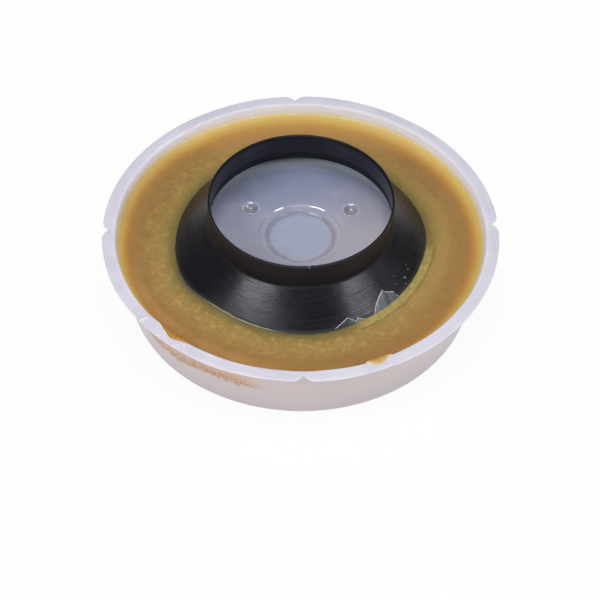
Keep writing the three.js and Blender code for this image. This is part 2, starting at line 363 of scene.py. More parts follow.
def skin_patch(name, carrier, bearings, near, far, thickness, buried, across=16):
    """A thin skin that lies on a carrier between two distances along its outline, given per bearing. With
    u along it and v across it, it stands thickness * ((1 - (2u - 1)^6) (1 - (2v - 1)^6))^0.5 proud. Its
    attributes are rim, 1 at its border and 0 from 0.4 mm inwards, and upper, 1 at the near border and 0
    from 0.3 mm inwards. Its underside is buried in the carrier, so that no edge of it lifts."""
    rows = len(bearings)
    u = np.linspace(0, 1, rows)[:, None]
    v = (1 - np.cos(np.linspace(0, np.pi, across))) / 2
    width = np.maximum(far - near, 1e-4)[:, None]
    distance = near[:, None] + width * v
    proud = thickness * np.sqrt((1 - (2 * u - 1) ** 6).clip(0) * (1 - (2 * v - 1) ** 6).clip(0))
    spread = bearings[:, None] + 0 * v
    top = laid_on(carrier, distance, spread, proud)
    below = laid_on(carrier, distance, spread, np.full_like(distance, -buried))[:, ::-1]
    from_near = width * v
    border = np.minimum(from_near, width - from_near)
    values = {"rim": 1 - smoothstep(0.05, 0.4, border), "upper": 1 - smoothstep(0.05, 0.3, from_near)}
    values = {key: np.concatenate([value, value[:, ::-1]], 1) for key, value in values.items()}
    return closed_loft(name, np.concatenate([top, below], 1), values)


def crumbs(name, places, sizes):
    """Rounded crumbs in one mesh: each is a ball of 6 rows by 8 columns, stretched to its three half
    sizes and set at its place, with x along its bearing and y across it."""
    rows, columns = 6, 8
    places, sizes = np.array(places, float), np.array(sizes, float)
    rise = np.linspace(-math.pi / 2, math.pi / 2, rows)[1:-1, None]
    turn = np.arange(columns) * 2 * math.pi / columns
    ball = turned(np.cos(rise), np.sin(rise), turn).reshape(-1, 3)
    ball = np.concatenate([ball, [[0, 0, -1], [0, 0, 1]]])
    count, ring = len(ball), len(ball) - 2
    column = np.arange(columns)
    beside = (column + 1) % columns
    quads = grid_faces(rows - 2, columns, closed=False)
    end = ring - columns
    fans = np.concatenate([np.stack([np.full(columns, ring), beside, column], 1),
                           np.stack([np.full(columns, ring + 1), end + column, end + beside], 1)])
    heading = np.arctan2(places[:, 1], places[:, 0])
    out = np.stack([np.cos(heading), np.sin(heading), 0 * heading], 1)
    side = np.stack([-np.sin(heading), np.cos(heading), 0 * heading], 1)
    up = np.array([0, 0, 1.0])
    shaped = ball[None] * sizes[:, None]
    vertices = (places[:, None] + shaped[..., :1] * out[:, None] + shaped[..., 1:2] * side[:, None]
                + shaped[..., 2:] * up).reshape(-1, 3)
    shift = (np.arange(len(places)) * count)[:, None, None]
    faces = [*(quads[None] + shift).reshape(-1, 4).tolist(), *(fans[None] + shift).reshape(-1, 3).tolist()]
    return mesh_object(name, vertices, outward(vertices, faces))


def outward(vertices, faces):
    """The faces, turned round where the volume that they enclose, the sum of p0 . (p1 x p2) / 6 over
    their triangles, comes out negative."""
    three = np.array([face[:3] for face in faces])
    four = np.array([[face[0], face[2], face[3]] for face in faces if len(face) == 4])
    a, b, c = (vertices[np.concatenate([three, four])[:, k]] for k in range(3))
    inside_out = np.einsum("ij,ij->i", a, np.cross(b, c)).sum() < 0
    return [tuple(face)[::-1] for face in faces] if inside_out else [tuple(face) for face in faces]


# Waves and bumps

def smoothstep(low, high, value):
    """0 at low, 1 at high, and 3t^2 - 2t^3 between them; low may be the greater."""
    share = np.clip((value - low) / (high - low), 0, 1)
    return share * share * (3 - 2 * share)


def bell(gap, width):
    """exp(-(gap / width)^2)"""
    return np.exp(-(gap / width) ** 2)


def bearing_gap(bearings, middle):
    """Bearings in radians, measured from a middle in degrees: from -pi to pi."""
    return (bearings - np.radians(middle) + math.pi) % (2 * math.pi) - math.pi


def lobes(bearings, orders, seed):
    """Sum of strength * cos(n a + phase) over the whole numbers n in orders, with seeded strengths and
    phases, over the square root of their count."""
    random = np.random.default_rng(seed)
    total = sum(random.uniform(0.4, 1) * np.cos(n * bearings + random.uniform(0, 2 * math.pi))
                for n in orders)
    return total / math.sqrt(len(orders))


def ripples(x, y, shortest, longest, seed):
    """A level field of bumps: the sum of 48 plane waves cos(k . p + phase), of seeded directions and
    phases and of wavelengths between shortest and longest, over the square root of half their count."""
    count = 48
    random = np.random.default_rng(seed)
    total = np.zeros_like(x)
    for _ in range(count):
        wave = 2 * math.pi / random.uniform(shortest, longest)
        heading, phase = random.uniform(0, 2 * math.pi, 2)
        total += np.cos(wave * (x * math.cos(heading) + y * math.sin(heading)) + phase)
    return total / math.sqrt(count / 2)


def ring_value(bearings, table):
    """A measured line round the axis, with no corners: the mean of the table's values, each weighted by
    exp(-(gap / reach)^2), where reach is 0.42 of the span between its neighbours and at least 5.5
    degrees."""
    places, values = np.array(table, float).T
    spans = (np.roll(places, -1) - np.roll(places, 1)) % 360
    gaps = np.degrees(bearing_gap(np.asarray(bearings)[..., None], places))
    weights = bell(gaps, np.maximum(5.5, spans * 0.42))
    return (weights * values).sum(-1) / weights.sum(-1)


def contact_radius(bearings):
    """Radius at which the wax meets the cone: the measured line, and lobes a twentieth of a millimetre
    high."""
    return ring_value(bearings, CONTACT_LINE) + 0.05 * lobes(bearings, range(19, 60, 5), 3)


# Shader maths

class Value:
    """A number, colour or vector socket of a material. Arithmetic on a number adds Math nodes."""

    def __init__(self, shader, socket):
        self.shader, self.socket = shader, socket

    def joined(self, operation, first, second=0.0):
        """A Math node of two values or numbers."""
        return self.shader.add("ShaderNodeMath", {"operation": operation}, {0: first, 1: second})

    def __add__(self, other):
        return self.joined("ADD", self, other)

    def __sub__(self, other):
        return self.joined("SUBTRACT", self, other)

    def __rsub__(self, other):
        return self.joined("SUBTRACT", other, self)

    def __mul__(self, other):
        return self.joined("MULTIPLY", self, other)

    def __truediv__(self, other):
        return self.joined("DIVIDE", self, other)

    def __pow__(self, exponent):
        return self.joined("POWER", self, exponent)

    def __abs__(self):
        return self.joined("ABSOLUTE", self)

    __radd__, __rmul__ = __add__, __mul__


class Shader:
    """A material's node tree, with the recurring patterns of this seal's surfaces as methods. Its x, y,
    z and radius are the Object coordinates and the distance from the axis, in millimetres."""

    def __init__(self, name):
        self.material = bpy.data.materials.new(name)
        self.material.use_nodes = True
        self.nodes = self.material.node_tree.nodes
        self.links = self.material.node_tree.links
        self.surface = self.nodes["Principled BSDF"]
        self.place = self.add("ShaderNodeTexCoord", output="Object")
        self.x, self.y, self.z = (
            self.add("ShaderNodeSeparateXYZ", None, {0: self.place}, axis) / MM for axis in "XYZ"
        )
        self.radius = (self.x * self.x + self.y * self.y) ** 0.5

    def add(self, kind, settings=None, inputs=None, output=0):
        """Adds a node: its settings first, a ramp's stops among them, then its sockets' values or links."""
        node = self.nodes.new(kind)
        for key, value in (settings or {}).items():
            if key == "stops":
                self.fill_ramp(node.color_ramp, value)
            else:
                setattr(node, key, value)
        for key, value in (inputs or {}).items():
            self.feed(node.inputs[key], value)
        return Value(self, node.outputs[output])

    def feed(self, socket, value):
        """Links a value to a socket, or sets a number or colour on it."""
        if isinstance(value, Value):
            self.links.new(value.socket, socket)
        else:
            socket.default_value = value

    @staticmethod
    def fill_ramp(ramp, stops):
        """Gives a ramp its stops, each a place from 0 to 1 and a colour."""
        while len(ramp.elements) < len(stops):
            ramp.elements.new(1)
        for element, (place, colour) in zip(ramp.elements, stops):
            element.position, element.color = place, colour

    def bearing(self):
        """The bearing in degrees, from -180 to 180."""
        return self.x.joined("ARCTAN2", self.y, self.x) * (180 / math.pi)

    def step(self, low, high, value):
        """0 below low and 1 above high, smooth between; falling where low is the greater."""
        ends = (low, high, 0.0, 1.0) if low < high else (high, low, 1.0, 0.0)
        inputs = dict(zip(("From Min", "From Max", "To Min", "To Max"), ends))
        settings = {"interpolation_type": "SMOOTHSTEP"}
        return self.add("ShaderNodeMapRange", settings, {**inputs, "Value": value})

    def band(self, start, full, fade, end, value):
        """Rises from start to full and falls from fade to end."""
        return self.step(start, full, value) * self.step(end, fade, value)

    def noise(self, size, detail=2, roughness=0.5, vector=None):
        """Noise whose bumps are about size millimetres across, from 0 to 1 round a mean of a half."""
        inputs = {"Vector": vector or self.place, "Scale": 1 / (size * MM)}
        return self.add("ShaderNodeTexNoise", None, {**inputs, "Detail": detail, "Roughness": roughness})

    def streaks(self, turns, rise, detail=3, roughness=0.6, across=None):
        """Noise drawn out round the axis. It is read at turns times the unit circle of the bearing, which
        changes slowly along a streak, and at rise times the height, or another measure across it."""
        unit_x, unit_y = self.x / self.radius, self.y / self.radius
        place = {"X": unit_x * turns, "Y": unit_y * turns, "Z": (across or self.z) * rise}
        return self.noise(1 / MM, detail, roughness, self.add("ShaderNodeCombineXYZ", None, place))

    def attribute(self, name):
        """A value that the mesh carries at its points."""
        return self.add("ShaderNodeAttribute", {"attribute_name": name}, None, "Fac")

    def ramp(self, value, stops):
        """The colour between the two stops that the value lies between."""
        return self.add("ShaderNodeValToRGB", {"stops": stops}, {"Fac": value}, "Color")

    def mix(self, factor, low, high):
        """low where the factor is 0 and high where it is 1."""
        settings = {"data_type": "RGBA", "clamp_factor": True}
        return self.add("ShaderNodeMix", settings, {0: factor, 6: low, 7: high}, 2)

    def bump(self, height, strength, distance, normal=None):
        """A normal tilted by a relief of height times distance, in millimetres, over an earlier one."""
        inputs = {"Height": height, "Strength": strength, "Distance": distance * MM}
        if normal is not None:
            inputs["Normal"] = normal
        return self.add("ShaderNodeBump", None, inputs, "Normal")

    def set(self, **values):
        """Feeds the surface's sockets, named with _ for a space, and gives the finished material."""
        for key, value in values.items():
            self.feed(self.surface.inputs[key.replace("_", " ")], value)
        return self.material


def srgb(red, green, blue):
    """The linear colour of a screen colour from 0 to 255: ((v + 0.055) / 1.055)^2.4 above its foot."""
    shares = (red / 255, green / 255, blue / 255)
    return (*(v / 12.92 if v <= 0.04045 else ((v + 0.055) / 1.055) ** 2.4 for v in shares), 1)


# Dish

def crossing_depth(across):
    """Depth of a notch at a distance across its middle: a straight V down to its flank, then an eased
    shoulder that runs out at the rim."""
    across = np.abs(across)
    flank = NOTCH_DEPTH + (NOTCH_FLANK_DEPTH - NOTCH_DEPTH) * across / NOTCH_HALF_WIDTH
    shoulder = NOTCH_FLANK_DEPTH * (1 - smoothstep(NOTCH_HALF_WIDTH, NOTCH_SHOULDER, across))
    return np.where(across < NOTCH_HALF_WIDTH, flank, shoulder)


# Folds pressed into the flange: bearings of the two ends, radii of those ends, height and half width
FLANGE_CREASES = [
    ((-126.1, -128), (71.8, 75.8), 0.5, 0.35),
    ((-126.1, -124.4), (71.8, 75.4), 0.45, 0.3),
    ((-141, -141.9), (72, 76), 0.45, 0.4),
    ((-138.6, -133.4), (74.4, 75.2), 0.4, 0.35),
    ((-136.6, -134), (72.6, 75.6), 0.35, 0.3),
    ((-133, -132.4), (72.2, 75), 0.4, 0.3),
    ((-148, -143.5), (73, 74.4), 0.25, 0.3),
    ((-62.2, -63.4), (71.8, 75.6), 0.4, 0.4),
    ((-37, -39), (72.5, 75.8), 0.3, 0.35),
]


def crease_share(bearings, radius, widening=1):
    """Tent-shaped folds from 0 to 1: 1 - gap / half width, where gap is the distance on the flange from
    the line between the fold's two ends. A fold fades out past those ends. Gives the shares and heights."""
    shares, heights = np.zeros_like(radius), np.zeros_like(radius)
    for (start, end), (inner, outer), height, half_width in FLANGE_CREASES:
        share = (radius - inner) / (outer - inner)
        gap = radius * np.abs(bearing_gap(bearings, start + (end - start) * np.clip(share, 0, 1)))
        tent = np.clip(1 - gap / half_width / widening, 0, 1)
        tent = tent * smoothstep(-0.1, 0.15, share) * smoothstep(1.15, 0.95, share)
        shares, heights = np.maximum(shares, tent), np.maximum(heights, height * tent)
    return shares, heights


def bent_dish(radius, height, bearings):
    """The turned sheet with what the moulding and the handling left on it: two dimples, each a smooth
    step down from its border to its floor with a bell in the middle, notches that draw the flange in, a
    rim and a wall that wave by a tenth of a millimetre as lobes of the bearing, folds, and one dent."""
    x, y = radius * np.cos(bearings), radius * np.sin(bearings)
    for place_x, place_y in DIMPLE_PLACES:
        away = np.hypot(x - place_x, y - place_y)
        sink = DIMPLE_DEPTH * smoothstep(DIMPLE_RADIUS, DIMPLE_FLOOR, away)
        nub = NUB_HEIGHT * bell(away, NUB_WIDTH)
        on_top = (np.abs(height - PLATEAU_HEIGHT) < 1.2) | (np.abs(height - PLATEAU_HEIGHT + SHEET) < 1.2)
        height = height - np.where(on_top & (radius < PLATEAU_RADIUS - 3), sink - nub, 0)
    bend = WALL_TOP_RADIUS + FLANGE_FILLET
    rim = RIM_RADIUS - RIM_WAVE - RIM_WAVE * lobes(bearings, range(3, 19, 3), 5)
    for notch in NOTCH_BEARINGS:
        gap = bearing_gap(bearings, notch)
        rim = rim - crossing_depth(RIM_RADIUS * gap) * (np.abs(gap) < 0.2)
    share = np.clip((radius - bend) / (RIM_RADIUS - bend), 0, None)
    radius = np.where(radius > bend, bend + share * (rim - bend), radius)
    flange = smoothstep(bend - 1, RIM_RADIUS, radius)
    height = height + flange * (FLANGE_WAVE * lobes(bearings, range(2, 11), 7) - FLANGE_SAG)
    shares, folds = crease_share(bearings, radius)
    height = height + folds * (radius > bend - 0.4)
    on_wall = smoothstep(4, 12, height) * (radius > 60)
    dent = DENT_DEPTH * bell(bearing_gap(bearings, DENT_BEARING), DENT_WIDTH) * smoothstep(24, 30, height)
    wave = WALL_WAVE + WALL_WAVE * lobes(bearings, range(5, 31, 3), 11)
    return radius - on_wall * (wave + dent) * (1 - flange), height


def dish_outline(run_step, arc_step, dimple_points):
    """The upper side of the dish's sheet, from the axis over the recess, the plateau, the trough and the
    wall to the rim, with close points where the dimples are."""
    disc = PLATEAU_HEIGHT - RECESS_DISC_DEPTH
    groove = PLATEAU_HEIGHT - RECESS_DEPTH
    path = outline([
        (0, disc + DISC_CROWN),
        (DISC_EDGE, disc, RECESS_FILLET),
        (GROOVE_INNER, groove, RECESS_FILLET),
        (GROOVE_OUTER, groove + GROOVE_RISE, RECESS_FILLET),
        (LEDGE_FOOT, PLATEAU_HEIGHT - RECESS_STEP - RECESS_LEDGE_FALL, RECESS_FILLET),
        (RECESS_RADIUS - RECESS_STEP_RUN, PLATEAU_HEIGHT - RECESS_STEP, RECESS_FILLET),
        (RECESS_RADIUS, PLATEAU_HEIGHT, RECESS_RING_FILLET),
        (PLATEAU_RADIUS, PLATEAU_HEIGHT, PLATEAU_FILLET),
        (plateau_radius(SHEET), SHEET, PLATEAU_FOOT_FILLET),
        (wall_radius(SHEET), SHEET, WALL_FOOT_FILLET),
        (WALL_TOP_RADIUS, DISH_HEIGHT, FLANGE_FILLET),
        (RIM_RADIUS - SHEET / 2, DISH_HEIGHT),
    ], run_step, arc_step)
    near_dimple = np.linspace(*DIMPLE_ZONE, dimple_points)
    dimple_band = np.stack([near_dimple, np.full(dimple_points, PLATEAU_HEIGHT)], 1)
    inner, outer = DIMPLE_ZONE[0] - 0.5, DIMPLE_ZONE[1] + 0.5
    in_band = (np.abs(path[:, 1] - PLATEAU_HEIGHT) < 1e-6) & (path[:, 0] > inner) & (path[:, 0] < outer)
    first, last = np.flatnonzero(in_band)[[0, -1]]
    return np.concatenate([path[:first], dimple_band, path[last + 1:]])


def make_dish_sheet():
    """The dish's sheet: the upper side's outline from the axis to the rim, a rounded edge, and back along
    the same outline, with fewer points, a sheet's thickness below. The attribute inside is 1 on the upper
    side and 0 on the lower, and creased is 1 on the folds."""
    upper = dish_outline(run_step=1.6, arc_step=0.24, dimple_points=28)
    lower = offset(dish_outline(run_step=4.0, arc_step=0.8, dimple_points=8), -SHEET)
    lower[0, 0] = 0
    turn = np.linspace(math.pi / 2, -math.pi / 2, 6)[1:-1]
    edge_middle = (upper[-1] + lower[-1]) / 2
    edge = edge_middle + SHEET / 2 * np.stack([np.cos(turn), np.sin(turn)], 1)
    path = np.concatenate([upper, edge, lower[::-1]])
    is_upper = np.concatenate([np.ones(len(upper)), np.full(len(edge), 0.5), np.zeros(len(lower))])
    notches = [(notch, 3.5, 0.3) for notch in NOTCH_BEARINGS]
    bearings = bearings_with(notches + FINE_CREASES + FINE_DIMPLES, coarse=2.0)
    shape = (len(path), len(bearings))
    radius = np.broadcast_to(path[:, :1], shape)
    height = np.broadcast_to(path[:, 1:], shape)
    radius, height = bent_dish(radius, height, np.broadcast_to(bearings, shape))
    height = np.clip(height, 0, None)
    side = np.broadcast_to(is_upper[:, None], shape)
    shares, _ = crease_share(np.broadcast_to(bearings, shape), radius, widening=1.6)
    creased = shares * (radius > WALL_TOP_RADIUS)
    return closed_loft("dish_sheet", turned(radius, height, bearings), {"inside": side, "creased": creased})


def tinted_wall(s, cloud, inside):
    """The plain sheet, clouded lavender, and the pink that the wax behind it gives its outer side: full
    up to 24.5 mm and gone at 27.5 mm."""
    plain = s.mix(s.step(0.3, 0.7, cloud), srgb(207, 204, 217), srgb(215, 213, 226))
    behind = s.step(27.5, 24.5, s.z + (cloud - 0.5) * 4) * s.step(58, 60, s.radius)
    wall = s.mix(s.step(8, 24, s.z), srgb(206, 194, 196), srgb(211, 197, 194))
    return s.mix(behind * (1 - inside), plain, wall)


def smeared_and_lit_wall(s, colour, cloud, fine, inside, streak):
    """What lies on the inner wall and the flange: painted light, near white in clouds, from 24 to 30.6 mm
    up, which stands in for light through the sheet; wax that climbs that band from 26.5 mm, and higher at
    the left; pale streaks along the bend at the back left, painted highlights; and turned lines."""
    reach = s.step(67, 68.5, s.radius) * s.step(72.4, 71.2, s.radius)
    strip = s.band(24, 25, 29, 30.6, s.z) * inside * reach
    # painted light: the inner wall's band below the flange is painted near white, clouded by this noise, as
    # light that comes through the sheet
    smear = s.step(0.4, 0.8, s.streaks(14, 0.6))
    colour = s.mix(strip, colour, s.mix(smear, srgb(244, 243, 254), srgb(240, 231, 238)))
    bearing = s.bearing()
    at_left = s.step(100, 150, abs(bearing))
    above = s.z - 26.5 - at_left * 0.9 + (cloud - 0.5) * 2 + (fine - 0.5) * 1.6
    climbing = s.step(1.4, -0.3, above) * strip
    colour = s.mix(climbing * (0.34 + at_left * 0.26), colour, srgb(224, 200, 146))
    bend = s.step(66, 68, s.radius) * s.step(72.6, 71.8, s.radius)
    # painted highlight: these pale streaks along the bend at the back left stand in for highlights there,
    # not for tears
    torn = s.band(92, 100, 150, 165, bearing) * inside * bend
    colour = s.mix(torn * s.step(0.54, 0.68, streak) * 0.5, colour, srgb(244, 241, 247))
    turned_lines = s.streaks(3, 1.4, 2, across=s.radius)
    flange = s.step(71, 72, s.radius) * s.step(29, 29.6, s.z)
    return s.mix(flange * s.step(0.6, 0.7, turned_lines) * 0.5, colour, srgb(232, 230, 240))


def plateau_pad(s, cloud):
    """The top of the plateau, with painted shade and light: grey lavender painted darker than the sheet as
    the shade of the horn and of the dark hollow under it, lighter and pinker to the right and bluer and
    darker to the back, with a darker back left, all painted light and shade; and a paler disc and faint
    wisps."""
    # painted light: the pad is lighter and pinker to the right
    right = s.step(-18, 30, s.x + (cloud - 0.5) * 20)
    # painted shade: the pad's base is darker than the sheet, and bluer and darker towards the back
    blue = s.step(-4, 34, s.y + (cloud - 0.5) * 14)
    pad = s.mix(right, srgb(164, 165, 184), srgb(190, 185, 196))
    pad = s.mix(blue * 0.75, pad, srgb(126, 138, 172))
    # painted shade: darker at the back left, in the sleeve's shade
    back_left_shade = s.step(6, -18, s.x) * s.step(8, 24, s.y) * s.step(23, 31, s.radius)
    pad = s.mix(back_left_shade * 0.42, pad, srgb(104, 106, 124))
    pad = s.mix(s.step(13.4, 9, s.radius) * 0.85, pad, srgb(166, 174, 198))
    wisps = s.step(0.5, 0.8, s.noise(9, 4, 0.6)) * 0.3
    return s.mix(wisps, pad, srgb(190, 190, 204))


def pressed_marks(s, pad):
    """The marks pressed into the plateau, with painted shade and light: a groove round the disc with
    patches of painted shadow and bits of painted highlight, dimples painted darker and brownish inside as
    shade, with a painted highlight on their pale border, and a pale outer edge of painted light. Gives the
    colour and glint,
    1 on the recess's bend and in the dimples."""
    scuffs = s.noise(1.8, 2)
    groove = s.band(11.6, 12.4, 13.2, 14.4, s.radius)
    # painted shadow in patches of the groove, then pale bits of painted highlight; the noise only breaks
    # them into patches
    pad = s.mix(groove * s.step(0.1, 0.75, scuffs) * 0.5, pad, srgb(112, 114, 130))
    pad = s.mix(groove * s.step(0.6, 0.72, scuffs) * 0.3, pad, srgb(222, 225, 236))
    glint = s.band(RECESS_RADIUS - 0.7, RECESS_RADIUS - 0.5, RECESS_RADIUS, RECESS_RADIUS + 0.2, s.radius)
    for place_x, place_y in DIMPLE_PLACES:
        across, along = s.x - place_x, s.y - place_y
        away = (across * across + along * along) ** 0.5
        glint = glint + s.step(DIMPLE_RADIUS, DIMPLE_RADIUS - 0.4, away)
        # painted shade: each dimple darker and brownish inside; then a painted highlight on its pale border
        pad = s.mix(s.step(3.1, 1.4, away) * 0.5, pad, srgb(142, 132, 132))
        border = s.band(2.5, 2.9, 3.2, 4, away) * s.step(0.35, 0.7, scuffs)
        pad = s.mix(border * 0.5, pad, srgb(220, 220, 232))
    # painted light: the pad turns pale blue-white from 34.5 to 40.5 mm, as light through the sheet under
    # the cone
    return s.mix(s.step(34.5, 40.5, s.radius), pad, srgb(222, 232, 255)), glint


def crumb_band(s, colour, cloud, inside):
    """A smear of wax on the outer wall at the front left, with crumbs along its ragged foot. The foot lies
    12.8 mm up, 2.2 mm higher in the middle, and rises by 22 mm more at the left end. Gives the colour and
    the crumbs' mask."""
    bearing = s.bearing()
    swept = bearing + (cloud - 0.5) * 18
    foot = s.band(-132, -122, -100, -90, bearing) * 2.2 + s.step(-140, -172, swept) * 22 + 12.8
    ragged = (s.noise(2.2, 3) - 0.5) * 6
    above_foot = s.z - foot + ragged
    low_edge = s.step(7, 1.5, above_foot)
    outer_wall = s.step(58, 60, s.radius) * (1 - inside) * s.step(29, 26, s.z)
    stain = s.step(-98, -112, swept) * s.step(-0.4, 0.6, above_foot) * outer_wall
    colour = s.mix(stain * 0.85, colour, srgb(210, 174, 142))
    crumb = s.step(0.4, 0.58, s.noise(0.9, 2, 0.6))
    speck = stain * (crumb * (0.3 + low_edge * 0.5))
    return s.mix(speck, colour, s.mix(low_edge, srgb(198, 150, 108), srgb(164, 116, 80))), speck


def frosted_sheet():
    """Milky sheet, coloured in coats that each cover the last by a mask: the tinted wall, what is smeared
    on it and the painted light on its inner wall, the plateau inside 43 mm with its painted shade and
    light, the folds, which whitened, and the band of crumbs. Roughness is 0.26 plus a tenth of a fine
    noise, 0.19 less on the plateau, and more in streaks on the flange's bend. A clear coat glints on the
    recess's bend and in the dimples behind the middle."""
    s = Shader("frosted_sheet")
    inside = s.attribute("inside")
    cloud, fine, streak = s.noise(14, 3), s.noise(1.6, 2), s.streaks(9, 0.7)
    colour = tinted_wall(s, cloud, inside)
    colour = smeared_and_lit_wall(s, colour, cloud, fine, inside, streak)
    plateau = s.step(44, 42, s.radius)
    pad, glint = pressed_marks(s, plateau_pad(s, cloud))
    colour = s.mix(plateau, colour, pad)
    folded = s.step(0.3, 0.9, s.attribute("creased") + (fine - 0.5) * 0.5)
    colour = s.mix(folded * 0.75, colour, srgb(240, 239, 248))
    colour, speck = crumb_band(s, colour, cloud, inside)
    relief = s.bump(s.noise(5, 2), 0.12, 0.5)
    relief = s.bump(speck, 0.5, 0.4, relief)
    gloss = s.step(46, 44, s.radius) * -0.19
    bend = s.band(70, 70.8, 72.2, 73.2, s.radius) * inside * (s.step(0.3, 0.6, streak) * 0.3 + 0.1)
    return s.set(
        Base_Color=colour,
        Roughness=fine * 0.1 + gloss + bend + 0.26,
        IOR=1.5,
        Subsurface_Weight=0.4,
        Subsurface_Radius=(1.0, 0.9, 1.0),
        Subsurface_Scale=0.002,
        Coat_Weight=glint * plateau * inside * s.step(0, 6, s.y),
        Coat_Roughness=0.05,
        Coat_IOR=1.8,
        Normal=relief,
    )


# Horn

def cone_under(radius):
    """Height of the cone's inner side, a wall's thickness below its outer side."""
    return cone_height(radius) - CONE_WALL / math.cos(CONE_FALL)


def make_horn_moulding():
    """The horn's wall: sleeve, collar, cone and the lip that the wax holds, turned as one closed outline.
    A nick lowers the sleeve's front edge by 0.35 exp(-(gap / 0.7)^2), and beside it the edge stands
    0.2 exp(-((gap - 1.1) / 0.4)^2) higher. The attribute bare is how far the wax's edge lies outside a
    point of the cone, in millimetres."""
    lip_top = cone_height(CONE_RADIUS)
    inner = SLEEVE_RADIUS - SLEEVE_WALL
    throat = inner + THROAT_STEP
    lip_under = lip_top - LIP_THICKNESS
    lip_root = SLEEVE_RADIUS + (cone_under(SLEEVE_RADIUS) - lip_under) / math.tan(CONE_FALL)
    start = (SLEEVE_RADIUS, SLEEVE_TOP - 3)
    path = outline([
        start,
        (SLEEVE_RADIUS, COLLAR_HEIGHT, COLLAR_FILLET),
        (CONE_RADIUS, lip_top),
        (LIP_RADIUS, lip_top, LIP_FILLET),
        (LIP_RADIUS, lip_under, LIP_FILLET),
        (lip_root, lip_under),
        (throat, cone_under(throat), THROAT_FILLET),
        (throat, THROAT_LINE_HEIGHT - 0.1),
        (inner + THROAT_DRAFT, THROAT_LINE_HEIGHT + 0.1, 0.2),
        (inner, SLEEVE_TOP - 0.8),
        (inner + 0.25, SLEEVE_TOP, SLEEVE_CHAMFER),
        (SLEEVE_RADIUS - 0.1, SLEEVE_TOP, SLEEVE_CHAMFER),
        (SLEEVE_RADIUS, SLEEVE_TOP - 0.5),
        start,
    ], run_step=0.8, arc_step=0.2)[:-1]
    bearings = bearings_with([(-84, 3, 0.3)], coarse=1.2)
    shape = (len(path), len(bearings))
    radius = np.broadcast_to(path[:, :1], shape)
    gap = SLEEVE_RADIUS * bearing_gap(bearings, NICK_BEARING)
    near_top = smoothstep(SLEEVE_TOP - 1.2, SLEEVE_TOP, path[:, 1:])
    height = path[:, 1:] - near_top * (NICK_DEPTH * bell(gap, 0.7) - 0.2 * bell(gap - 1.1, 0.4))
    height = np.minimum(height, SLEEVE_TOP)
    bare = contact_radius(bearings) - radius
    return turned_ring("horn_moulding", radius, height, bearings, {"bare": bare})


def black_plastic():
    """Black plastic with a satin cone. Streaks at three scales are its turned scratches, shorter ones and
    the scuffs of a patch at the front, and each is a bump. Roughness is 0.23, up to 0.1 more on the cone
    by streaks and clouds, 0.08 more at its foot at the front left, and 0.24 of the scratches round their
    mean. A film of wax greens and dulls the cone's last millimetre, and the throat below its line is dull
    and painted near black, a painted shade of the dark gap under the cone."""
    s = Shader("black_plastic")
    scratches = s.streaks(3, 3.8, roughness=0.7)
    short = s.streaks(9, 2.3, roughness=0.65)
    scuffs = s.streaks(56, 2.6, 2)
    cloud, grit = s.noise(7, 3), s.noise(0.35, 2)
    bare, bearing = s.attribute("bare"), s.bearing()
    outer = s.step(SLEEVE_RADIUS, SLEEVE_RADIUS + 0.6, s.radius)
    scuffed = s.band(-116, -104, -92, -82, bearing) * s.step(12, 8, bare) * s.step(0.5, 2.5, bare)
    relief = s.bump(scratches, 0.36, 0.05)
    relief = s.bump(short, 0.1, 0.05, relief)
    relief = s.bump(grit, 0.06, 0.03, relief)
    relief = s.bump(scuffs, scuffed * 0.9, 0.08, relief)
    satin = s.step(0.4, 0.7, short) * 0.05 + s.step(0.3, 0.7, cloud) * 0.05
    dulled = s.band(-142, -122, -102, -88, bearing) * s.step(7, 1, bare)
    polish = 0.23 + (satin + dulled * 0.08) * outer + (scratches - 0.5) * 0.24
    colour = s.mix(s.step(0.35, 0.75, scratches), srgb(9, 8, 13), srgb(18, 17, 24))
    outside = s.step(SLEEVE_RADIUS - 0.3, SLEEVE_RADIUS - 0.1, s.radius)
    sleeve = s.step(COLLAR_HEIGHT + 0.4, COLLAR_HEIGHT + 1.6, s.z) * outside
    colour = s.mix(sleeve, colour, srgb(22, 24, 34))
    # painted shade: near black below the throat's line, for the shadowed gap under the cone
    throat = s.step(THROAT_LINE_HEIGHT, THROAT_LINE_HEIGHT - 0.3, s.z) * (1 - outer)
    colour = s.mix(throat, colour, srgb(4, 4, 5))
    film = s.step(1.4, -0.1, bare) * outer
    colour = s.mix(film, colour, srgb(44, 46, 42))
    return s.set(
        Base_Color=colour,
        Roughness=polish + film * 0.2 + throat * 0.3 + (1 - outer) * 0.08,
        IOR=1.45,
        Specular_Tint=(0.93, 0.92, 1, 1),
        Normal=relief,
    )


# Wax

